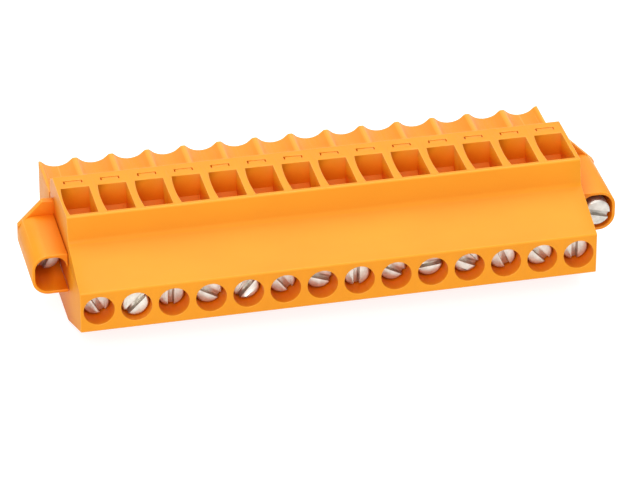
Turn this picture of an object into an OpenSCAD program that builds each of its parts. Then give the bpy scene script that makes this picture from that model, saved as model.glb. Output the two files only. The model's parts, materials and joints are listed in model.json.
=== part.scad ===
// Pluggable terminal block: screw-clamp plug with wires entering from above, slotted clamp
// screws in the front strip and a captive locking screw in a flange at each end.
// X runs along the row of poles, +Y points the way the plug is pushed in, Z is up.
// The origin is the middle of the footprint, on the surface that the block lies on.

/* [Row of poles] */
// Number of poles
poles = 14; // [2:1:14]
// Distance from pole to pole
pitch = 5.08; // [5.0:0.01:5.3]

/* [Housing section] */
// Depth from the screw strip to the mating face
depth = 31.7; // [31:0.1:34]
// Height of the top face
top_z = 16.8; // [16.6:0.1:18]
// Lower edge of the screw strip
strip_low_z = 4.2; // [3.6:0.1:4.4]
// Upper edge of the screw strip
strip_high_z = 10.15; // [9.9:0.05:10.4]
// Distance back to the foot of the upstand
foot_y = 8.4; // [8:0.1:8.6]
// Height of the foot of the upstand
foot_z = 13.1; // [12.6:0.1:13.4]
// Distance back to the front edge of the top face
top_front_y = 9.07; // [8.7:0.01:9.2]
// Distance back to the rear edge of the top face
top_back_y = 20.2; // [20:0.1:20.5]
// Height of the ridges on the plug part
plug_z = 12.95; // [12.5:0.05:13.2]
// Distance back to where the underside turns level
keel_y = 10.3; // [9:0.1:11]
// Small radius on the long outer edges
edge_r = 0.25; // [0.1:0.05:0.3]
// Radius in the corner between the upstand and the sloping face
foot_r = 1.0; // [0.4:0.1:1.5]

/* [Flutes] */
// Radius of the hollow channel above each pole
flute_r = 3.0; // [2.8:0.1:3.4]
// Depth of the channel
flute_depth = 1.05; // [0.8:0.05:1.2]

/* [Wire entries] */
// Width of a wire entry
entry_w = 3.84; // [3.6:0.02:3.9]
// Front edge of a wire entry
entry_front_y = 9.78; // [9.6:0.01:9.8]
// Rear edge of a wire entry
entry_back_y = 16.88; // [16.5:0.01:17]
// How far the left wall of an entry bows outwards
entry_bow = 0.24; // [0:0.02:0.3]
// Height at which the rear wall turns into the funnel
funnel_z = 13.4; // [12.5:0.1:13.5]
// Width of the narrow neck between the funnel and the yoke
neck_w = 2.8; // [2.6:0.1:3]

/* [Clamp screws] */
// Height of the screw axis
screw_z = 7.27; // [7.2:0.01:7.3]
// Diameter of the screw hole in the strip
screw_hole_d = 4.18; // [4.1:0.01:4.3]
// Diameter of the screw head
head_d = 3.7; // [3.5:0.05:3.8]
// Depth of a screw head below the strip when its screw is driven home
head_recess = 2.3; // [2.2:0.05:2.4]
// Length of a screw head
head_t = 1.5; // [1.2:0.1:1.6]
// Diameter of the threaded shank
shank_d = 2.5; // [2.3:0.1:2.5]
// Width of the screwdriver slot
slot_w = 0.8; // [0.6:0.05:0.9]
// Depth of the screwdriver slot
slot_depth = 0.85; // [0.6:0.05:0.9]
// Direction of each screwdriver slot, in degrees from level
slot_turns = [120, 45, 90, 150, 50, 128, 160, 90, 152, 6, 154, 115, 133, 90];
// How far each screw is backed out of its hole
backed_out = [0, 1.4, 0, 0.4, 0.5, 0, 0, 0.4, 0.1, 0.1, 0.3, 0.4, 0.6, 0.3];

/* [Clamp yokes] */
// Outer width of the steel yoke
yoke_w = 3.6; // [3.5:0.05:3.64]
// Height of the yoke's strip
yoke_h = 4.4; // [4:0.1:4.5]
// Thickness of the yoke's side walls
yoke_side_t = 0.45; // [0.4:0.05:0.45]
// Thickness of the tapped end of the yoke
yoke_nut_t = 1.7; // [1.4:0.1:1.7]
// Thickness of the far end of the yoke, which presses the wire
yoke_jaw_t = 0.8; // [0.6:0.1:0.8]

/* [Contacts] */
// Thickness of the contact's sheet
bar_t = 0.8; // [0.6:0.1:0.8]
// Width of the contact's sheet
bar_w = 2.4; // [2:0.1:2.4]
// Thickness of a spring arm
arm_t = 0.5; // [0.3:0.1:0.6]

/* [Flanges] */
// Length that a flange adds to each end
flange_w = 5.0; // [4.8:0.1:5.2]
// Height of the flange screw's axis
flange_z = 8.62; // [8.5:0.02:8.7]
// Height of the tube's flat top
tube_high_z = 11.55; // [11.5:0.05:11.7]
// Height of the tube's flat underside
tube_low_z = 5.6; // [5.5:0.05:5.7]
// Outer corner radius of the flange tube
tube_r = 2.3; // [2:0.1:2.5]
// Wall of the flange tube
tube_wall = 0.45; // [0.4:0.05:0.6]
// Distance back to the mouth of the flange tube
tube_front_y = 8.5; // [8:0.1:9]
// Front face of the flange plate
plate_front_y = 19.4; // [19.2:0.1:19.5]
// Thickness of the flange plate
plate_t = 1.0; // [0.9:0.1:1.2]
// Height of the flange plate
plate_z = 13.6; // [13.3:0.1:13.8]
// Size of the chamfer on the plate's outer corner
plate_chamfer = 3.4; // [3:0.1:3.5]

/* [Flange screws] */
// Distance of the screw's axis from the end of the housing
flange_screw_x = 2.25; // [2.2:0.05:2.3]
// Diameter of the flange screw's head
flange_head_d = 3.8; // [3.6:0.1:3.8]
// Length of the flange screw's head
flange_head_t = 2.0; // [1.6:0.1:2.2]
// Front of the left screw's head, which is pushed home
left_head_y = 13.2; // [13:0.1:13.4]
// Front of the right screw's head, which is drawn back
right_head_y = 8.0; // [7.8:0.1:12]
// Length of the thin neck behind the head
neck_len = 5.3; // [5:0.1:5.3]
// Diameter of the thin neck
neck_d = 2.0; // [1.8:0.1:2.1]
// Diameter of the flange screw's thread
thread_d = 2.5; // [2.4:0.1:2.6]
// Length of the flange screw's thread
thread_len = 3.0; // [2.6:0.1:3]

/* [Hidden] */
$fn = 48;
eps = 0.01;
body_len = poles * pitch;
function pole_x(i) = (i - (poles + 1) / 2) * pitch;
function two_digits(i) = str(i < 10 ? "0" : "", i);
function numbered(name) = [for (i = [1:poles]) str(name, "_", two_digits(i))];

// Clamp chamber
shoulder_y = head_recess + head_t + 0.1;
pocket_front_y = shoulder_y + 0.5;
pocket_back_y = 15.0;
pocket_gap_z = 0.2;
pocket_low_z = screw_z - yoke_h / 2 - pocket_gap_z;
pocket_high_z = screw_z + yoke_h / 2 + pocket_gap_z;
bar_y = 10.1;
bar_high_z = 10.8;
neck_z = bar_high_z + 0.1;
strip_z = 3.1;
jaw_open_y = 13.9;
yoke_front_y = 7.4;
yoke_back_y = jaw_open_y + yoke_jaw_t;

// Contact chamber in the mating face
socket_front_y = 20.4;
socket_high_z = 9.85;
socket_mid_z = (strip_z + socket_high_z) / 2;
arm_end_y = depth - 0.9;

steel = "lightsteelblue";
tin = "silver";
plastic = "darkorange";

// ---- helpers -------------------------------------------------------------------------

// Moves a shape drawn from the screw strip's face back to the block's own frame
module in_frame() {
    translate([0, -depth / 2, 0]) children();
}

// Extrudes a (Y, Z) outline along X, centred on the pole
module along_x(w) {
    rotate([90, 0, 90]) linear_extrude(w, center = true) children();
}

// Extrudes an (X, Z) outline along Y from y0 to y1
module along_y(y0, y1) {
    translate([0, y1, 0]) rotate([90, 0, 0]) linear_extrude(y1 - y0) children();
}

// Cylinder along Y from y0 to y1
module rod_y(d, y0, y1) {
    translate([0, y0, 0]) rotate([-90, 0, 0]) cylinder(d = d, h = y1 - y0);
}

// Box given by its two corners
module block(low, high) {
    translate(low) cube(high - low);
}

// ---- housing -------------------------------------------------------------------------

// Direction of the line from a to b, in degrees
function heading(a, b) = atan2(b[1] - a[1], b[0] - a[0]);

// Corner b of the path a-b-c, rounded to radius r by an arc of n steps
function rounded(a, b, c, r, n) =
    let (u = (a - b) / norm(a - b), v = (c - b) / norm(c - b),
         half = acos(u * v) / 2,
         mid = (u + v) / norm(u + v),
         centre = b + mid * r / sin(half),
         p = b + u * r / tan(half),
         q = b + v * r / tan(half),
         a0 = heading(centre, p),
         turn = heading(centre, q) - a0,
         sweep = turn > 180 ? turn - 360 : turn < -180 ? turn + 360 : turn)
    [for (k = [0:n]) let (t = a0 + sweep * k / n) centre + r * [cos(t), sin(t)]];

corners = [
    [0, strip_low_z], [keel_y, 0], [depth, 0], [depth, plug_z], [top_back_y, plug_z],
    [top_back_y, top_z], [top_front_y, top_z], [foot_y, foot_z], [0, strip_high_z]];
corner_radii = [edge_r, 3, edge_r, edge_r / 2, 0, edge_r, edge_r, foot_r, edge_r];

module section() {
    n = len(corners);
    polygon([for (i = [0:n - 1])
        each (corner_radii[i] == 0
            ? [corners[i]]
            : rounded(corners[(i + n - 1) % n], corners[i], corners[(i + 1) % n], corner_radii[i], 4))]);
}

// The way of the wire: an open box on top, a funnel, and a neck over the yoke's window
module wire_way() {
    along_x(entry_w) polygon([
        [entry_front_y, top_z + 1], [entry_back_y, top_z + 1], [entry_back_y, funnel_z],
        [jaw_open_y, neck_z], [bar_y + bar_t + 0.1, neck_z], [entry_front_y, funnel_z - 0.5]]);
    block([-neck_w / 2, bar_y + bar_t + 0.1, pocket_high_z - eps], [neck_w / 2, jaw_open_y, neck_z + eps]);
    bowed_wall();
}

// The shallow hollow that makes the left wall of an entry bow outwards
module bowed_wall() {
    steps = 8;
    length = entry_back_y - entry_front_y;
    translate([-entry_w / 2, entry_front_y, funnel_z]) linear_extrude(top_z + 1 - funnel_z)
        polygon(concat([[eps, length], [eps, 0]],
            [for (k = [0:steps]) let (t = k / steps) [-4 * entry_bow * t * (1 - t), length * t]]));
}

// The hollow for one pole's screw, yoke and contact
module clamp_chamber() {
    translate([0, 0, screw_z]) {
        rod_y(screw_hole_d, -1, shoulder_y);
        rod_y(shank_d + 0.2, shoulder_y - eps, pocket_front_y + eps);
    }
    block([-entry_w / 2, pocket_front_y, pocket_low_z], [entry_w / 2, pocket_back_y, pocket_high_z]);
    block([-bar_w / 2, bar_y, strip_z], [bar_w / 2, bar_y + bar_t, bar_high_z]);
    block([-bar_w / 2, bar_y, strip_z], [bar_w / 2, socket_front_y + eps, strip_z + bar_t]);
    block([-entry_w / 2, socket_front_y, strip_z], [entry_w / 2, depth + 1, socket_high_z]);
}

// Outline of the moulded latch behind a wire entry
module latch_mark() {
    mark_y = 18.6;
    mark_w = 2.6;
    leg = 0.55;
    line = 0.17;
    cut = 0.45;
    block([-mark_w / 2, mark_y, top_z - cut], [mark_w / 2, mark_y + line, top_z + 1]);
    for (side = [-1, 1])
        translate([side * (mark_w / 2 - line / 2), 0, 0])
            block([-line / 2, mark_y - leg, top_z - cut], [line / 2, mark_y + line, top_z + 1]);
}

// Channel above a pole, with the rounded half of a ridge at each side of it. The ridge's radius
// is the one that meets the channel without a corner and touches the plug part's full height.
module flute() {
    reach = (pow(pitch / 2, 2) + pow(flute_depth, 2)) / (2 * flute_depth);
    ridge_r = reach - flute_r;
    turn = asin(pitch / 2 / reach);
    steps = 5;
    translate([0, 0, plug_z - flute_depth + flute_r])
        rod_y(2 * flute_r, top_back_y, depth + 1);
    for (side = [0, 1]) mirror([side, 0, 0]) along_y(top_back_y, depth + 1)
        polygon(concat(
            [[pitch / 2 + eps, plug_z], [pitch / 2 + eps, plug_z + 1], [pitch / 2 - ridge_r, plug_z + 1]],
            [for (k = [steps:-1:0]) let (t = turn * k / steps)
                [pitch / 2 - ridge_r * sin(t), plug_z - ridge_r * (1 - cos(t))]]));
}

// Upright groove in each end of the plug part, for the ribs of the socket it enters
module end_groove() {
    block([body_len / 2 - 0.45, cheek_y, strip_low_z], [body_len / 2 + 1, cheek_y + 0.7, plug_z + 1]);
}

// Cheek that stiffens the corner between the rear wall and the plug part, at the +X end
module cheek() {
    translate([body_len / 2 - cheek_t / 2, 0, 0]) along_x(cheek_t) polygon([
        [top_back_y - 0.5, plug_z - 1.5], [top_back_y - 0.5, top_z - 0.5], [top_back_y, top_z - 0.5],
        [cheek_y - 0.7, top_z - 0.9], [cheek_y, top_z - 2], [cheek_y, plug_z - 1.5]]);
}

cheek_y = 22.3;
cheek_t = 0.8;

tongue_low = [-1.4, 17.2, 10.3];
tongue_high = [0, 20.2, 11.3];

module housing() {
    color(plastic) in_frame() {
        difference() {
            along_x(body_len) section();
            for (i = [1:poles]) translate([pole_x(i), 0, 0]) {
                clamp_chamber();
                wire_way();
                latch_mark();
                flute();
            }
            for (side = [0, 1]) mirror([side, 0, 0]) {
                end_groove();
                translate([body_len / 2, 0, 0]) block(tongue_low, tongue_high + [1, 0, 0]);
            }
        }
        for (side = [0, 1]) mirror([side, 0, 0]) cheek();
    }
}

// ---- flanges -------------------------------------------------------------------------

web_x = 0.25;
web_r = 1.6;
joint_line = 0.08;
seat_y = left_head_y + flange_head_t + 0.1;
bore_d = thread_d + 0.2;

// Outline from x0 to x1, square on the housing's side and with outer corners of radius r
module d_outline(x0, x1, z0, z1, r) {
    translate([x0, z0]) square([x1 - r - x0, z1 - z0]);
    translate([x1 - r - eps, z0 + r]) square([r + eps, z1 - z0 - 2 * r]);
    for (z = [z0 + r, z1 - r]) translate([x1 - r, z]) circle(r = r);
}

module plate_outline() {
    d_outline(0, flange_w, tube_low_z, tube_high_z, tube_r);
    polygon([[0, flange_z], [flange_w, flange_z], [flange_w, plate_z - plate_chamfer],
        [flange_w - plate_chamfer, plate_z], [0, plate_z]]);
}

// Room for the screw's head: open to the housing, but for the web in its upper corner
module tube_bore() {
    along_y(tube_front_y - 1, seat_y) difference() {
        d_outline(-1, flange_w - tube_wall, tube_low_z + tube_wall, tube_high_z - tube_wall, tube_r - tube_wall);
        translate([-1, tube_high_z - tube_wall - web_r]) difference() {
            square([1 + web_x + web_r, web_r + 1]);
            translate([1 + web_x + web_r, 0]) circle(r = web_r);
        }
    }
}

// Flange at the +X end; the left one is its mirror image
module flange() {
    translate([body_len / 2, 0, 0]) {
        difference() {
            union() {
                along_y(tube_front_y, plate_front_y + eps)
                    d_outline(joint_line, flange_w, tube_low_z, tube_high_z, tube_r);
                along_y(plate_front_y, plate_front_y + plate_t) plate_outline();
            }
            tube_bore();
            translate([flange_screw_x, 0, flange_z]) rod_y(bore_d, seat_y - eps, depth);
        }
        block(tongue_low, tongue_high + [eps, 0, 0]);
    }
}

module flange_right() {
    color(plastic) in_frame() flange();
}

module flange_left() {
    color(plastic) in_frame() mirror([1, 0, 0]) flange();
}

// ---- screws --------------------------------------------------------------------------

// Slotted screw along +Y with its head's face at y = 0: head, neck and thread
module slotted_screw(head, head_t, neck, neck_length, thread, thread_length, slot_turn) {
    bevel = 0.2;
    difference() {
        rotate([-90, 0, 0]) rotate_extrude() polygon([
            [0, 0], [head / 2 - bevel, 0], [head / 2, bevel], [head / 2, head_t],
            [neck / 2, head_t], [neck / 2, head_t + neck_length],
            [thread / 2, head_t + neck_length], [thread / 2, head_t + neck_length + thread_length - bevel],
            [thread / 2 - bevel, head_t + neck_length + thread_length],
            [0, head_t + neck_length + thread_length]]);
        rotate([0, -slot_turn, 0]) block([-head, -1, -slot_w / 2], [head, slot_depth, slot_w / 2]);
    }
}

module clamp_screw(i) {
    relief = 0.6;
    tip_gap = 0.1;
    color(steel) in_frame() translate([pole_x(i), head_recess - backed_out[i - 1], screw_z])
        slotted_screw(head_d, head_t, shank_d - 0.4, relief, shank_d,
            bar_y - tip_gap - head_recess - head_t - relief, slot_turns[i - 1]);
}

module flange_screw(side, head_y, slot_turn) {
    color(steel) in_frame() translate([side * (body_len / 2 + flange_screw_x), head_y, flange_z])
        slotted_screw(flange_head_d, flange_head_t, neck_d, neck_len, thread_d, thread_len, slot_turn);
}

module flange_screw_left() { flange_screw(-1, left_head_y, 63); }

module flange_screw_right() { flange_screw(1, right_head_y, 165); }

// ---- clamp yokes ---------------------------------------------------------------------

// Rectangle from p to q with round corners
module round_box(p, q, r) {
    translate(p + [r, 0]) square([q[0] - p[0] - 2 * r, q[1] - p[1]]);
    translate(p + [0, r]) square([q[0] - p[0], q[1] - p[1] - 2 * r]);
    for (x = [p[0] + r, q[0] - r], y = [p[1] + r, q[1] - r]) translate([x, y]) circle(r = r);
}

module clamp_yoke(i) {
    low_z = screw_z - yoke_h / 2;
    window_w = yoke_w - 2 * yoke_side_t;
    tooth = 0.15;
    color(tin) in_frame() translate([pole_x(i), 0, 0]) difference() {
        translate([0, 0, low_z]) linear_extrude(yoke_h)
            round_box([-yoke_w / 2, yoke_front_y], [yoke_w / 2, yoke_back_y], 0.5);
        block([-window_w / 2, yoke_front_y + yoke_nut_t, low_z - 1],
            [window_w / 2, jaw_open_y, low_z + yoke_h + 1]);
        translate([0, 0, screw_z]) rod_y(shank_d + 0.1, yoke_front_y - 1, yoke_front_y + yoke_nut_t + 0.5);
        for (k = [-1:1])
            block([-window_w / 2, jaw_open_y - eps, screw_z + k * 1.1 - tooth],
                [window_w / 2, jaw_open_y + tooth, screw_z + k * 1.1 + tooth]);
    }
}

// ---- contacts ------------------------------------------------------------------------

// Half the distance between the middles of the two spring arms, along the contact
arm_root = 1.9;
arm_pinch = 0.72;
arm_mouth = 1.25;
arm_pinch_y = arm_end_y - 2.2;
arm_root_y = socket_front_y + bar_t;
function arm_gap(y) = y < arm_pinch_y
    ? arm_pinch + (arm_root - arm_pinch) * (1 + cos(180 * (y - arm_root_y) / (arm_pinch_y - arm_root_y))) / 2
    : arm_pinch + (arm_mouth - arm_pinch) * pow((y - arm_pinch_y) / (arm_end_y - arm_pinch_y), 2);

module spring_arm() {
    ys = [for (k = [0:14]) arm_root_y - eps + (arm_end_y - arm_root_y + eps) * k / 14];
    polygon(concat(
        [for (y = ys) [y, arm_gap(y) + arm_t / 2]],
        [for (k = [14:-1:0]) [ys[k], arm_gap(ys[k]) - arm_t / 2]]));
}

module contact(i) {
    color(tin) in_frame() translate([pole_x(i), 0, 0]) {
        block([-bar_w / 2, bar_y, strip_z], [bar_w / 2, bar_y + bar_t, bar_high_z]);
        block([-bar_w / 2, bar_y, strip_z], [bar_w / 2, socket_front_y + bar_t, strip_z + bar_t]);
        block([-bar_w / 2, socket_front_y, strip_z],
            [bar_w / 2, socket_front_y + bar_t, socket_mid_z + arm_root + arm_t / 2]);
        translate([0, 0, socket_mid_z]) along_x(bar_w) {
            spring_arm();
            mirror([0, 1]) spring_arm();
        }
    }
}

housing();
flange_left();
flange_right();
flange_screw_left();
flange_screw_right();
for (i = [1:poles]) {
    clamp_screw(i);
    clamp_yoke(i);
    contact(i);
}
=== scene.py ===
# %% [markdown]
# # A pluggable terminal block
# The part is the plug half of a two-part connector. Fourteen wires go into the openings on top,
# fourteen slotted screws in the front strip draw a steel yoke shut on each wire, and the whole
# block is pushed onto the pins of a header, where a captive locking screw in a flange at each end
# holds it. The housing and the flanges are orange mouldings, and everything that clamps, conducts
# or locks is metal.
#
# The CAD model already holds every piece at its real size and place. The work here is the finish:
# rounded edges, screw threads and the surface of each material. Lengths are in metres, X runs
# along the row of poles, +Y is the way the plug is pushed in, and Z is up.

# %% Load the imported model
import json
import math

import bmesh
import bpy
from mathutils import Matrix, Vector


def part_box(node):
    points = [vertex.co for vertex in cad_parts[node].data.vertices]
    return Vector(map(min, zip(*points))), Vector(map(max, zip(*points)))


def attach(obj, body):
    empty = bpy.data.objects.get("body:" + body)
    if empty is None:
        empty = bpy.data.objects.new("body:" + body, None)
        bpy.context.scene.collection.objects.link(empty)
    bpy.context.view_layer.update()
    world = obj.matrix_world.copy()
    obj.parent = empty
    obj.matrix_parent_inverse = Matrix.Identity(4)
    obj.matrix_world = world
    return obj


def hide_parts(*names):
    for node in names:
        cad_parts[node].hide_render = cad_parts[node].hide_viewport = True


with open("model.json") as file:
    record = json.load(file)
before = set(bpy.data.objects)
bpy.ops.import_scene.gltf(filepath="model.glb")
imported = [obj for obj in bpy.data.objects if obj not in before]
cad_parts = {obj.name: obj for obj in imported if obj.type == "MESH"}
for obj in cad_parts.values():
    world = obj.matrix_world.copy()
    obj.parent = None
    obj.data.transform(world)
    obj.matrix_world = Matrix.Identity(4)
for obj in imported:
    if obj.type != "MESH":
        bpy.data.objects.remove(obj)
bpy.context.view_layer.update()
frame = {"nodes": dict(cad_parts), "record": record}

MM = 0.001
X, Y, Z = Vector((1, 0, 0)), Vector((0, 1, 0)), Vector((0, 0, 1))
scene = bpy.context.scene
nodes = frame["nodes"]
bodies = frame["record"]["behaviour"]["bodies"]
body_of = {name: body for body, names in bodies.items() for name in names}


# %% [markdown]
# ## Writing node trees
# Shader and geometry trees can be clicked together by hand or written in code. Code is longer to
# read than a picture of a tree, so two short functions carry the routine: `add` makes a node and
# fills its sockets by name, and `plug` takes either a plain value or another node's output.

# %% Tree helpers
def plug(tree, socket, value):
    """Sets a socket to a value, or links it to another node's output."""
    if isinstance(value, bpy.types.NodeSocket):
        tree.links.new(value, socket)
    else:
        socket.default_value = value


def add(tree, kind, settings=None, **values):
    """A node of that kind. settings are its properties; values are its sockets, by name."""
    made = tree.nodes.new(kind)
    for key, value in (settings or {}).items():
        setattr(made, key, value)
    for key, value in values.items():
        plug(tree, made.inputs[key.replace("_", " ")], value)
    return made


def calculate(tree, operation, *values):
    """The result of one Math node."""
    made = add(tree, "ShaderNodeMath", {"operation": operation})
    for socket, value in zip(made.inputs, values):
        plug(tree, socket, value)
    return made.outputs[0]


print("tree helpers: plug, add, calculate")

# %% [markdown]
# ## Writing materials
# Every finish here is a noise at some scale, stretched to the range that a colour or a roughness
# needs. All patterns read the object coordinates, which stay with a piece when it moves, so a
# screw keeps its own marks while it turns.

# %% Material helpers
def span(tree, value, low, high, from_low=0.3, from_high=0.7):
    """Stretches a value to the range from low to high. The default fits a Noise texture."""
    return add(tree, "ShaderNodeMapRange", Value=value, From_Min=from_low, From_Max=from_high,
               To_Min=low, To_Max=high).outputs[0]


def noise(tree, where, size, detail=2.0, roughness=0.5, stretch=(1, 1, 1)):
    """Noise whose patches are about `size` metres across, drawn out along an axis by `stretch`."""
    mapped = add(tree, "ShaderNodeMapping", Vector=where, Scale=[s / size for s in stretch])
    return add(tree, "ShaderNodeTexNoise", Vector=mapped.outputs[0], Scale=1.0,
               Detail=detail, Roughness=roughness).outputs["Fac"]


def mix_colour(tree, factor, a, b):
    """Colour a where the factor is 0 and colour b where it is 1."""
    made = add(tree, "ShaderNodeMix", {"data_type": "RGBA"})
    for socket, value in zip((made.inputs[0], made.inputs[6], made.inputs[7]), (factor, a, b)):
        plug(tree, socket, value)
    return made.outputs[2]


def new_material(name):
    """A material with its tree, its Principled node and the object coordinates."""
    made = bpy.data.materials.new(name)
    made.use_nodes = True
    tree = made.node_tree
    where = add(tree, "ShaderNodeTexCoord").outputs["Object"]
    return made, tree, tree.nodes["Principled BSDF"], where


print("material helpers: span, noise, mix_colour, new_material")

# %% [markdown]
# ## The orange moulding
# Housing and flanges are injection-moulded polyamide. The steel tool was spark-eroded, which
# leaves a satin skin with a very fine grain, and the melt flowed along the row, which leaves
# faint long clouds in the tone. A flat orange would look like a toy, so two noises do the work: a
# large stretched one for the tone and a fine one for roughness and bump. The rounded edges get
# their own, smoother material, because the corners of a moulding are thin and come out of the
# tool with a glossier skin. Its colour is also slightly lighter, which is a painted highlight
# along the edges.
#
# Polyamide also lets a little light into its surface, and in a deep cell the light bounces from
# wall to wall, so the orange there turns a deeper red-orange. Subsurface scattering would give
# some of that, at a high price in render time. Here the deeper colour is painted shade instead: an
# Ambient Occlusion node measures how closed in a point is, and that mixes in a deep red-orange.

# %% Moulded plastic
ORANGE = (0.90, 0.335, 0.010, 1)
ORANGE_DEEP = (0.86, 0.300, 0.007, 1)
# Painted shade: the deep red-orange that closed-in places are mixed towards.
ORANGE_PAINTED_SHADE = (0.78, 0.160, 0.001, 1)
# Painted highlight: the edge orange is lighter than the skin.
ORANGE_EDGE_PAINTED_HIGHLIGHT = (0.93, 0.375, 0.020, 1)
FLOW_SIZE, GRAIN_SIZE, GRAIN_DEPTH = 9 * MM, 0.16 * MM, 0.02 * MM
CAVITY_REACH, CAVITY_RAYS = 5 * MM, 8
CAVITY_CLOSED, CAVITY_OPEN = 0.25, 0.95
PLASTIC_IOR, PLASTIC_SHINE = 1.45, 0.32


def plastic(name, light, dark, rough_low, rough_high, grain):
    """Orange polyamide between two tones and two roughnesses, with a share of the grain, and with
    painted shade mixed in where a point is closed in.
    """
    made, tree, skin, where = new_material(name)
    flow = noise(tree, where, FLOW_SIZE, 3, 0.55, (0.5, 1, 1))
    fine = noise(tree, where, GRAIN_SIZE, 3, 0.6)
    skin_colour = mix_colour(tree, span(tree, flow, 0, 1), dark, light)
    # Painted shade: an Ambient Occlusion mask darkens closed-in places towards the deep red-orange.
    cavity_occlusion = add(tree, "ShaderNodeAmbientOcclusion", {"samples": CAVITY_RAYS},
                 Distance=CAVITY_REACH)
    unshaded_share = span(tree, cavity_occlusion.outputs["AO"], 0, 1, CAVITY_CLOSED, CAVITY_OPEN)
    plug(tree, skin.inputs["Base Color"], mix_colour(tree, unshaded_share, ORANGE_PAINTED_SHADE, skin_colour))
    plug(tree, skin.inputs["Roughness"], span(tree, fine, rough_low, rough_high))
    skin.inputs["IOR"].default_value = PLASTIC_IOR
    skin.inputs["Specular IOR Level"].default_value = PLASTIC_SHINE
    bump = add(tree, "ShaderNodeBump", Strength=grain, Distance=GRAIN_DEPTH, Height=fine)
    plug(tree, skin.inputs["Normal"], bump.outputs[0])
    return made


moulded = plastic("orange_moulded", ORANGE, ORANGE_DEEP, 0.42, 0.56, 0.3)
# The edge skin is glossier, and its lighter colour is a painted highlight.
edge_gloss_and_highlight = plastic("orange_edge_gloss_painted_highlight", ORANGE_EDGE_PAINTED_HIGHLIGHT, ORANGE_EDGE_PAINTED_HIGHLIGHT, 0.28, 0.36, 0.1)
print("plastic grain:", round(GRAIN_SIZE / MM, 2), "mm across")

# %% [markdown]
# ## The plated metals
# The screws are steel with a pale zinc plating, a little cloudy, never mirror bright. Their heads
# are turned on a lathe, which leaves faint rings about the axis. Each screw could have a material
# of its own, but the rings only need the distance to the nearest screw axis, and rounding the
# position along the row to the nearest multiple of the spacing gives that for all of them at
# once. The locking screws are given a darker and duller zinc. The yokes are stamped
# from nickel-plated strip and the contacts from tinned copper alloy: rolled metal has no rings,
# and its fine lines run along the strip.

# %% Plated metals
PITCH = 5.08 * MM
RING_SPACING, RING_SHARE = 0.16 * MM, 0.12
CLOUD_SIZE, SCRATCH_SIZE, SCRATCH_DEPTH = 0.8 * MM, 0.14 * MM, 0.015 * MM


def axis_of(name):
    """Where the middle of a node lies across Y: its X and Z."""
    low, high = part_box(name)
    return (low[0] + high[0]) / 2, (low[2] + high[2]) / 2


def turned_rings(tree, where, first, spacing, level):
    """Waves around the nearest of the axes that lie `spacing` apart at the height `level`."""
    place = add(tree, "ShaderNodeSeparateXYZ", Vector=where)
    steps = calculate(tree, "DIVIDE", calculate(tree, "SUBTRACT", place.outputs[0], first), spacing)
    part_step = calculate(tree, "SUBTRACT", steps, calculate(tree, "ROUND", steps))
    off = calculate(tree, "MULTIPLY", part_step, spacing)
    rise = calculate(tree, "SUBTRACT", place.outputs[2], level)
    square = calculate(tree, "ADD", calculate(tree, "MULTIPLY", off, off),
                       calculate(tree, "MULTIPLY", rise, rise))
    distance = calculate(tree, "SQRT", square)
    angle = calculate(tree, "MULTIPLY", distance, 2 * math.pi / RING_SPACING)
    return calculate(tree, "SINE", angle)


def plated_metal(name, light, dark, rough_low, rough_high, lines, axes=None):
    """`lines` stretches the fine scratches. `axes` says where the turned axes lie, as in
    turned_rings, and is left out for sheet metal."""
    made, tree, skin, where = new_material(name)
    cloud = noise(tree, where, CLOUD_SIZE, 3, 0.6)
    scratches = noise(tree, where, SCRATCH_SIZE, 4, 0.65, lines)
    height = scratches
    if axes:
        rings = calculate(tree, "MULTIPLY", turned_rings(tree, where, *axes), RING_SHARE)
        height = calculate(tree, "ADD", scratches, rings)
    plug(tree, skin.inputs["Base Color"], mix_colour(tree, span(tree, cloud, 0, 1), dark, light))
    plug(tree, skin.inputs["Roughness"], span(tree, scratches, rough_low, rough_high))
    skin.inputs["Metallic"].default_value = 1.0
    bump = add(tree, "ShaderNodeBump", Strength=0.5, Distance=SCRATCH_DEPTH, Height=height)
    plug(tree, skin.inputs["Normal"], bump.outputs[0])
    return made


# %% The four finishes
ZINC, ZINC_DULL = (0.78, 0.75, 0.68, 1), (0.60, 0.565, 0.50, 1)
# A darker, rougher zinc for the locking screws.
ZINC_LOCK_DARKER, ZINC_LOCK_DARKER_DULL = (0.68, 0.66, 0.61, 1), (0.50, 0.48, 0.44, 1)
NICKEL, NICKEL_DULL = (0.66, 0.65, 0.62, 1), (0.55, 0.54, 0.51, 1)
TIN, TIN_DULL = (0.70, 0.69, 0.65, 1), (0.57, 0.55, 0.50, 1)
row_x, row_z = axis_of("clamp_screw_01")
lock_x, lock_z = axis_of("flange_screw_right")
zinc = plated_metal("zinc_plated_steel", ZINC, ZINC_DULL, 0.36, 0.56,
                    lines=(1, 1, 0.25), axes=(row_x, PITCH, row_z))
zinc_lock = plated_metal("zinc_plated_steel_lock", ZINC_LOCK_DARKER, ZINC_LOCK_DARKER_DULL, 0.40, 0.60,
                         lines=(0.25, 1, 1), axes=(lock_x, 2 * lock_x, lock_z))
nickel = plated_metal("nickel_plated_steel", NICKEL, NICKEL_DULL, 0.22, 0.38, lines=(1, 0.15, 1))
tinned = plated_metal("tinned_copper", TIN, TIN_DULL, 0.34, 0.5, lines=(1, 0.3, 1))
print("first screw axis in mm: x", round(row_x / MM, 2), " height", round(row_z / MM, 2))

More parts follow.
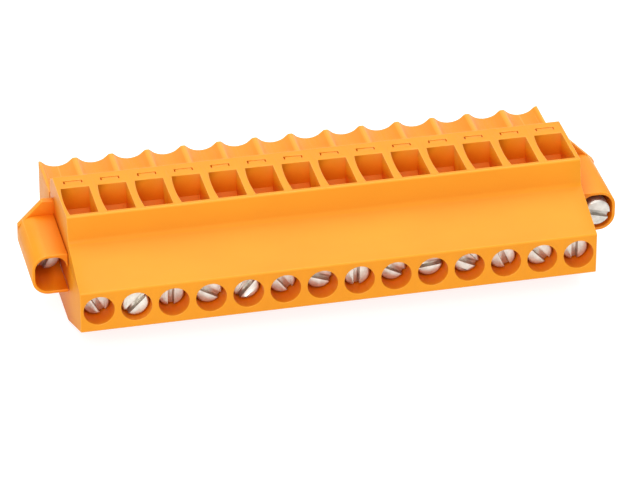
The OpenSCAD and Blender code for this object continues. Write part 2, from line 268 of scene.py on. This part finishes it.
# %% [markdown]
# ## Rounding the edges
# A CAD solid has knife edges, and a knife edge catches no light. Real mouldings and turned parts
# have a small radius on every corner, and the thin highlights along those radii are most of what
# makes a small object look real. A Subdivision Surface would soften the whole shape and spoil the
# flat faces. A Bevel modifier keeps them, so each CAD node is copied, welded and bevelled.
#
# A bevel needs clean faces. The copy's triangles are merged into plain outlines first, and a face
# with a hole in it is split through the hole's middle, because one outline can't hold both rims.
# Where two corners are closer together than a little over two radii, the bevel's weight is
# brought down to what fits, so that nothing overshoots. The modifier's own Clamp Overlap would
# shrink every radius of the piece to suit its narrowest spot.

# %% Splitting faces and measuring the room beside an edge
WELD = 0.002 * MM
STRAIGHT_ON = -0.7


def split(work, point, normal):
    """Splits the faces along a plane, and marks the new edges as ones to keep."""
    everything = work.verts[:] + work.edges[:] + work.faces[:]
    made = bmesh.ops.bisect_plane(work, geom=everything, dist=WELD / 2,
                                  plane_co=point, plane_no=normal)
    for part in made["geom_cut"]:
        if isinstance(part, bmesh.types.BMEdge):
            part.seam = True


def room_beside(edge):
    """How far an edge can move sideways over its faces before it meets their next corner.
    A neighbour that only carries the edge straight on doesn't count."""
    room = 1.0
    for face in edge.link_faces:
        for vert in edge.verts:
            along = (edge.other_vert(vert).co - vert.co).normalized()
            for other in vert.link_edges:
                if other is edge or face not in other.link_faces:
                    continue
                step = other.other_vert(vert).co - vert.co
                if step.dot(along) > STRAIGHT_ON * step.length:
                    room = min(room, (step - along * step.dot(along)).length)
    return room


print("points closer than", WELD / MM, "mm are merged")

# %% [markdown]
# ## A rounded copy of a CAD node
# The radius goes on the edges that stand out and are sharper than SHARP. An inner corner keeps
# its edge, since a radius there would need material that the CAD solid doesn't have. A narrow
# face beside two radii is nearly all edge, so it takes the skin of the radii too, and on the
# mouldings that brings the painted highlight of the lighter edge orange. The Bevel modifier reads
# how much of its width each edge gets from the weights written here.

# %% Clean faces and weighed edges
SHARP = math.radians(32)
COPLANAR = math.radians(0.3)
RADII_THAT_FIT = 2.2


def merge_faces(work, cuts):
    """Welds loose triangles and merges them into plain outlines, split at the `cuts`."""
    bmesh.ops.remove_doubles(work, verts=work.verts, dist=WELD)
    bmesh.ops.dissolve_degenerate(work, edges=work.edges, dist=WELD)
    for point, normal in cuts:
        split(work, point, normal)
    bmesh.ops.dissolve_limit(work, angle_limit=COPLANAR, verts=work.verts, edges=work.edges,
                             delimit={"SEAM"})


def weigh_edges(work, radius, amount):
    """Writes on each edge the share of the radius that it gets. amount(middle) gives the share
    from where the edge's middle is; without it, every sharp outer edge gets the whole radius."""
    weight = work.edges.layers.float.new("bevel_weight_edge")
    for edge in work.edges:
        sharp = edge.is_manifold and edge.calc_face_angle() > SHARP
        outer = sharp and edge.is_convex
        middle = (edge.verts[0].co + edge.verts[1].co) / 2
        share = amount(middle) if outer and amount else float(outer)
        edge.smooth = not sharp or share > 0
        if share:
            share = min(share, room_beside(edge) / (RADII_THAT_FIT * radius))
        edge[weight] = share
        edge.seam = False


print("outer edges sharper than", round(math.degrees(SHARP)), "degrees get a radius")

# %% Rounded copies of CAD nodes
NARROW = 0.13 * MM


def rounded_copy(name, new_name, radius, skins, cuts=(), amount=None, segments=2):
    """A clean copy of a CAD node with rounded edges. The last skin is the one on the radii."""
    mesh = nodes[name].data.copy()
    mesh.materials.clear()
    work = bmesh.new()
    work.from_mesh(mesh)
    merge_faces(work, cuts)
    weigh_edges(work, radius, amount)
    for face in work.faces:
        face.smooth = True
        # Narrow faces take the edge skin, and on the mouldings its painted highlight with it.
        if face.calc_area() < NARROW * max(edge.calc_length() for edge in face.edges):
            face.material_index = len(skins) - 1
    work.to_mesh(mesh)
    work.free()
    made = bpy.data.objects.new(new_name, mesh)
    scene.collection.objects.link(made)
    for skin in skins:
        mesh.materials.append(skin)
    bevel = made.modifiers.new("edge radius", "BEVEL")
    bevel.width, bevel.segments, bevel.limit_method = radius, segments, "WEIGHT"
    bevel.use_clamp_overlap = False
    bevel.harden_normals = True
    bevel.material = len(skins) - 1
    return made


print("faces narrower than", round(NARROW / MM, 2), "mm take the edge's skin")

# %% [markdown]
# ## From a modifier to a finished piece
# A joint moves a whole piece, and other programs read only plain meshes. So what the modifiers
# give is baked into the mesh, the piece is then tied to its body, and its CAD node is hidden.

# %% Baking and seating
def bake_modifiers(made):
    """Turns what the modifiers give into a plain mesh, and removes them."""
    evaluated = made.evaluated_get(bpy.context.evaluated_depsgraph_get())
    final = bpy.data.meshes.new_from_object(evaluated)
    made.modifiers.clear()
    made.data = final
    final.name = made.name
    return made


def seat(made, name):
    """Ties a finished piece to the body that it rides on, and hides the CAD node that it stands
    for.
    """
    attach(made, body_of[name])
    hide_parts(name)


print("pieces still to make:", len(body_of))

# %% [markdown]
# ## Housing
# One moulding holds everything: the strip with the screw holes, the sloping face, the upstand
# with the wire entries, and the fluted plug part with the contact chambers. Its outer corners have
# a radius of a tenth of a millimetre. The chambers inside are left sharp, since nobody sees them
# and each radius costs faces, and so are the thin tips of the ridges at the mating face, which
# have no room for one. The cutting planes run through the middle of each pole, between the poles,
# and through the tongues that key the flanges on.

# %% Housing
POLES, PLASTIC_RADIUS = 14, 0.1 * MM
TONGUE_Z = 10.8 * MM
SKIN_LOW, SKIN_HIGH = Vector((0.3, 0.9, 0.8)) * MM, Vector((0.3, 0.3, 4.9)) * MM
RIDGE_TIP_Z, RIDGE_TIP_DEPTH = 12.6 * MM, 0.3 * MM
pole_x = [row_x + k * PITCH for k in range(POLES)]
housing_low, housing_high = (Vector(corner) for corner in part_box("housing"))
housing_cuts = [(X * x, X) for x in pole_x] + [(X * (x + PITCH / 2), X) for x in pole_x[:-1]]
housing_cuts += [(Z * TONGUE_Z, Z)]


def housing_edge(middle):
    """The full radius outside and at every mouth, and none in the chambers or at a ridge's tip."""
    core = zip(housing_low + SKIN_LOW, middle, housing_high - SKIN_HIGH)
    inside = all(low < m < high for low, m, high in core)
    ridge_tip = middle.y > housing_high.y - RIDGE_TIP_DEPTH and middle.z > RIDGE_TIP_Z
    return 0.0 if inside or ridge_tip else 1.0


housing = rounded_copy("housing", "housing_moulding", PLASTIC_RADIUS, (moulded, edge_gloss_and_highlight),
                       housing_cuts, housing_edge)
bake_modifiers(housing)
seat(housing, "housing")
print("housing faces:", len(housing.data.polygons))

# %% [markdown]
# ## Flanges
# Each flange is a moulding of its own: a tube for the head of the locking screw, and a plate
# behind it that takes the pull. The two are mirror images. Mirroring one would turn its faces
# inside out, so a loop makes each from its own CAD node, split through the axis of its bore.

# %% Flanges
for side in ("left", "right"):
    x = axis_of(f"flange_screw_{side}")[0]
    flange = rounded_copy(f"flange_{side}", f"flange_moulding_{side}", PLASTIC_RADIUS,
                          (moulded, edge_gloss_and_highlight), [(X * x, X)])
    bake_modifiers(flange)
    seat(flange, f"flange_{side}")
    print("flange", side, "faces:", len(flange.data.polygons))

# %% [markdown]
# ## Screw threads
# In the CAD model a thread is a plain cylinder of its outer size. A real one is a ridge that
# climbs around a thinner core. It could be modelled turn by turn, or carved by a texture, but a
# ridge along a path is what Geometry Nodes do best. One tree serves both kinds of screw, through
# its named inputs. Blender keeps such inputs on the modifier under the sockets' identifiers, not
# their names, so a small function looks them up.

# %% A tree with named inputs
def geometry_tree(name, inputs):
    """A tree with one geometry in and out, and named inputs: (name, socket kind, value)."""
    tree = bpy.data.node_groups.new(name, "GeometryNodeTree")
    tree.interface.new_socket("Geometry", in_out="INPUT", socket_type="NodeSocketGeometry")
    tree.interface.new_socket("Geometry", in_out="OUTPUT", socket_type="NodeSocketGeometry")
    for label, kind, value in inputs:
        socket = tree.interface.new_socket(label, in_out="INPUT", socket_type=kind)
        if value is not None:
            socket.default_value = value
    return tree, tree.nodes.new("NodeGroupInput").outputs, tree.nodes.new("NodeGroupOutput").inputs


def grow(made, tree, values):
    """Adds the tree to an object as a modifier, and sets its inputs by their names in `values`."""
    modifier = made.modifiers.new(tree.name, "NODES")
    modifier.node_group = tree
    for socket in tree.interface.items_tree:
        if socket.name in values:
            modifier[socket.identifier] = values[socket.name]


print("geometry helpers: geometry_tree, grow")

# %% [markdown]
# ## The thread
# First the shank is narrowed from the crest to the core: every point past Start moves towards the
# axis. Then a wedge is swept along a helix, with its foot sunk a little into the core so that no
# gap can show. The spiral node climbs clockwise by itself, which would be a left-handed thread, so
# it is reversed. The wedge shrinks in the first and the last turn, as a rolled thread runs out.

# %% Narrowing the shank
CLAMP_THREAD, LOCK_THREAD = 5.6 * MM, 3.0 * MM
CLAMP_PITCH, LOCK_PITCH = 0.5 * MM, 0.45 * MM
CREST, CORE = 1.25 * MM, 1.0 * MM


def narrowed_shank(tree, given):
    """The screw with its shank, which lies along +Y from Start, brought down to the core."""
    place = add(tree, "ShaderNodeVectorMath", {"operation": "SUBTRACT"})
    plug(tree, place.inputs[0], tree.nodes.new("GeometryNodeInputPosition").outputs[0])
    plug(tree, place.inputs[1], given["Start"])
    parts = add(tree, "ShaderNodeSeparateXYZ", Vector=place.outputs[0])
    core_share = calculate(tree, "DIVIDE", given["Core Radius"], given["Crest Radius"])
    narrowing = calculate(tree, "SUBTRACT", core_share, 1)
    inwards = add(tree, "ShaderNodeCombineXYZ",
                  X=calculate(tree, "MULTIPLY", parts.outputs[0], narrowing),
                  Z=calculate(tree, "MULTIPLY", parts.outputs[2], narrowing))
    past_start = calculate(tree, "GREATER_THAN", parts.outputs[1], -WELD)
    return add(tree, "GeometryNodeSetPosition", Geometry=given["Geometry"],
               Selection=past_start, Offset=inwards.outputs[0]).outputs[0]


print("crest radius", CREST / MM, "mm, core radius", CORE / MM, "mm")

# %% The path and the wedge
STEPS_PER_TURN = 24
SUNK, FOOT_SHARE, CREST_SHARE = 0.2, 0.94, 0.16
RUNOUT_TIP = 0.05


def helix_path(tree, given):
    """A helix on the core that climbs along Z, and its number of turns."""
    climb = calculate(tree, "SUBTRACT", given["Length"], given["Pitch"])
    turns = calculate(tree, "DIVIDE", climb, given["Pitch"])
    helix = add(tree, "GeometryNodeCurveSpiral", Resolution=STEPS_PER_TURN, Rotations=turns,
                Height=climb, Start_Radius=given["Core Radius"], End_Radius=given["Core Radius"],
                Reverse=True)
    upright = add(tree, "GeometryNodeSetCurveNormal", {"mode": "Z_UP"}, Curve=helix.outputs[0])
    return upright.outputs[0], turns


def wedge_profile(tree, given):
    """The section of the ridge: wide at its sunk foot and narrow at its crest."""
    rise = calculate(tree, "SUBTRACT", given["Crest Radius"], given["Core Radius"])
    wedge = add(tree, "GeometryNodeCurvePrimitiveQuadrilateral", {"mode": "TRAPEZOID"},
                Height=calculate(tree, "MULTIPLY", rise, 1 + SUNK), Offset=0.0,
                Bottom_Width=calculate(tree, "MULTIPLY", given["Pitch"], FOOT_SHARE),
                Top_Width=calculate(tree, "MULTIPLY", given["Pitch"], CREST_SHARE))
    middle = calculate(tree, "MULTIPLY", rise, (1 - SUNK) / 2)
    outwards = add(tree, "ShaderNodeCombineXYZ", X=middle)
    return add(tree, "GeometryNodeTransform", Geometry=wedge.outputs[0],
               Translation=outwards.outputs[0], Rotation=(0, 0, -math.pi / 2)).outputs[0]


print("steps in a turn:", STEPS_PER_TURN)

# %% Thread tree
def wound_ridge(tree, given):
    """The wedge swept along the helix, laid along +Y half a pitch past Start."""
    path, turns = helix_path(tree, given)
    factor = tree.nodes.new("GeometryNodeSplineParameter").outputs["Factor"]
    from_end = calculate(tree, "MINIMUM", factor, calculate(tree, "SUBTRACT", 1, factor))
    turns_from_end = calculate(tree, "MULTIPLY", from_end, turns)
    runout = calculate(tree, "MAXIMUM", calculate(tree, "MINIMUM", turns_from_end, 1), RUNOUT_TIP)
    ridge = add(tree, "GeometryNodeCurveToMesh", Curve=path,
                Profile_Curve=wedge_profile(tree, given), Scale=runout, Fill_Caps=True)
    half_pitch = add(tree, "ShaderNodeCombineXYZ", Y=calculate(tree, "DIVIDE", given["Pitch"], 2))
    foot = add(tree, "ShaderNodeVectorMath", {"operation": "ADD"})
    plug(tree, foot.inputs[0], given["Start"])
    plug(tree, foot.inputs[1], half_pitch.outputs[0])
    return add(tree, "GeometryNodeTransform", Geometry=ridge.outputs[0],
               Translation=foot.outputs[0], Rotation=(-math.pi / 2, 0, 0)).outputs[0]


def thread_tree():
    """A tree that turns the plain shank of a screw into a core with a ridge around it."""
    tree, given, result = geometry_tree("screw_thread", [
        ("Start", "NodeSocketVector", (0, 0, 0)), ("Length", "NodeSocketFloat", CLAMP_THREAD),
        ("Crest Radius", "NodeSocketFloat", CREST), ("Core Radius", "NodeSocketFloat", CORE),
        ("Pitch", "NodeSocketFloat", CLAMP_PITCH), ("Material", "NodeSocketMaterial", None)])
    joined = tree.nodes.new("GeometryNodeJoinGeometry")
    plug(tree, joined.inputs[0], wound_ridge(tree, given))
    plug(tree, joined.inputs[0], narrowed_shank(tree, given))
    real = add(tree, "GeometryNodeRealizeInstances", Geometry=joined.outputs[0])
    plated = add(tree, "GeometryNodeSetMaterial", Geometry=real.outputs[0],
                 Material=given["Material"])
    plug(tree, result["Geometry"], plated.outputs[0])
    return tree


screw_thread = thread_tree()
print("thread tree:", len(screw_thread.nodes), "nodes")

# %% [markdown]
# ## Clamp screws and locking screws
# All sixteen screws are slotted cheese-head screws, and each sits at its own depth with its slot
# at its own angle, as the last screwdriver left it. One screw copied fourteen times would lose
# that. So the head, neck and slot come from each screw's own CAD node, with a fine radius on every
# outer edge, and the thread comes from the tree above.

# %% Screws
METAL_RADIUS = 0.06 * MM


def make_screw(name, skin, length, pitch):
    """A rounded copy of a screw with a thread over the last `length` of its shank."""
    x, z = axis_of(name)
    made = rounded_copy(name, name + "_turned", METAL_RADIUS, (skin,), [(X * x, X)])
    start = (x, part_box(name)[1][1] - length, z)
    grow(made, screw_thread, {"Start": start, "Length": length, "Crest Radius": CREST,
                              "Core Radius": CORE, "Pitch": pitch, "Material": skin})
    bake_modifiers(made)
    seat(made, name)
    return made


for k in range(1, POLES + 1):
    screw = make_screw(f"clamp_screw_{k:02d}", zinc, CLAMP_THREAD, CLAMP_PITCH)
print("clamp screw faces:", len(screw.data.polygons))
for side in ("left", "right"):
    screw = make_screw(f"flange_screw_{side}", zinc_lock, LOCK_THREAD, LOCK_PITCH)
print("locking screw faces:", len(screw.data.polygons))

# %% [markdown]
# ## Yokes and contacts
# A yoke is a strip of steel folded into a frame, with a tapped end for the screw and a toothed
# end that presses the wire against the contact. The contact runs on through the housing and
# ends in two spring arms, which can be seen in the openings of the mating face. Both could be
# folded here from a flat sheet with a Solidify modifier, but the CAD nodes already have every
# fold, so a fine radius on the cut edges is all that they need.

# %% Yokes and contacts
strips = (("clamp_yoke", nickel, "yoke_steel"), ("contact", tinned, "contact_tin"))
for k in range(1, POLES + 1):
    for kind, skin, slot in strips:
        name = f"{kind}_{k:02d}"
        made = rounded_copy(name, name + "_strip", METAL_RADIUS, (skin,),
                            [(X * axis_of(name)[0], X)])
        bake_modifiers(made)
        seat(made, name)
        if k == 1:
            print(kind, "faces:", len(made.data.polygons))

# %% [markdown]
# ## Camera
# A long lens from far away keeps the row of poles nearly parallel, so the last pole looks almost
# as large as the first. The place is given as two angles and a distance from the point that the
# camera looks at.

# %% Camera
AZIMUTH, ELEVATION = math.radians(-12.856), math.radians(30.534)
DISTANCE, LENS, SENSOR = 626.07 * MM, 259.33, 36
NEAREST, FARTHEST = 0.01, 10
AIM = Vector((-0.740, -6.157, 8.413)) * MM
back = Vector((math.sin(AZIMUTH) * math.cos(ELEVATION),
               -math.cos(AZIMUTH) * math.cos(ELEVATION), math.sin(ELEVATION)))
camera = bpy.data.objects.new("camera", bpy.data.cameras.new("camera"))
scene.collection.objects.link(camera)
camera.location = AIM + back * DISTANCE
camera.rotation_euler = back.to_track_quat("Z", "Y").to_euler()
camera.data.lens, camera.data.sensor_width = LENS, SENSOR
camera.data.clip_start, camera.data.clip_end = NEAREST, FARTHEST
scene.camera = camera
print("camera at", [round(c, 3) for c in camera.location])

# %% [markdown]
# ## Floor and background
# The block lies on a pale sheet in an even white surrounding. Making the sheet white by adding
# light would burn out the orange, so the sheet and the world are told apart by the kind of ray:
# what the camera or a reflection sees is white paper that still takes the block's shadow, and
# what lights the block is a plain grey-white sheet and an even sky. The sheet lies a hair below
# the block, so that the two faces don't fight for the same place.

# %% Telling the rays apart
def seen_ray(tree):
    """1 for rays from the camera and in reflections, 0 for the rays that carry light."""
    ray = add(tree, "ShaderNodeLightPath").outputs
    return calculate(tree, "MAXIMUM", ray["Is Camera Ray"],
                     calculate(tree, "MAXIMUM", ray["Is Glossy Ray"], ray["Is Transmission Ray"]))


def grey(value):
    return (value, value, value, 1)


print("white for: camera, glossy and transmission rays")

# %% Floor
HALF_FLOOR, FLOOR_Z = 0.6, -0.02 * MM
PAPER_GREY, PAPER_SEEN, PAPER_GLOW = 0.8, 0.5, 0.8
signs = (-1, -1), (1, -1), (1, 1), (-1, 1)
corners = [(x * HALF_FLOOR, y * HALF_FLOOR, FLOOR_Z) for x, y in signs]
floor_mesh = bpy.data.meshes.new("floor")
floor_mesh.from_pydata(corners, [], [(0, 1, 2, 3)])
floor = bpy.data.objects.new("floor", floor_mesh)
scene.collection.objects.link(floor)
paper = bpy.data.materials.new("paper")
paper.use_nodes = True
tree = paper.node_tree
tree.nodes.clear()
seen_sheet = add(tree, "ShaderNodeBsdfDiffuse", Color=grey(PAPER_SEEN))
seen_glow = add(tree, "ShaderNodeEmission", Strength=PAPER_GLOW)
lighting_sheet = add(tree, "ShaderNodeBsdfDiffuse", Color=grey(PAPER_GREY))
seen = tree.nodes.new("ShaderNodeAddShader")
both = add(tree, "ShaderNodeMixShader", Fac=seen_ray(tree))
plug(tree, seen.inputs[0], seen_sheet.outputs[0])
plug(tree, seen.inputs[1], seen_glow.outputs[0])
plug(tree, both.inputs[1], lighting_sheet.outputs[0])
plug(tree, both.inputs[2], seen.outputs[0])
plug(tree, tree.nodes.new("ShaderNodeOutputMaterial").inputs[0], both.outputs[0])
floor_mesh.materials.append(paper)
print("floor of", 2 * HALF_FLOOR, "m")

# %% Background
SKY_LIGHT = 0.45
scene.world = bpy.data.worlds.new("studio")
scene.world.use_nodes = True
tree = scene.world.node_tree
sky = tree.nodes["Background"]
sky.inputs["Color"].default_value = grey(1)
plug(tree, sky.inputs["Strength"], span(tree, seen_ray(tree), SKY_LIGHT, 1, 0, 1))
print("sky light:", SKY_LIGHT)

# %% [markdown]
# ## Lamps
# Two soft lamps, as in a small product studio. The front one stands low and to the left, so it
# lights the screw strip and the end face but reaches only the upper part of the wire entries. The
# rear one hangs almost overhead and lights the top, the slope and the flutes. One lamp straight
# above would be simpler, but it would shine down into every entry and flatten the row.

# %% Lamps
def soft_lamp(name, place, size, power):
    """A square lamp at that place, aimed at the origin."""
    data = bpy.data.lights.new(name, "AREA")
    data.size, data.energy = size, power
    made = bpy.data.objects.new(name, data)
    scene.collection.objects.link(made)
    made.location = place
    made.rotation_euler = Vector(place).to_track_quat("Z", "Y").to_euler()
    print(name, "lamp:", power, "W,", size, "m wide,", round(Vector(place).length, 2), "m away")


soft_lamp("front", place=(-0.3, -0.85, 0.6), size=0.8, power=6.0)
soft_lamp("rear", place=(0.1, 0.3, 0.95), size=1.0, power=8.0)
scene.view_settings.view_transform = "Standard"
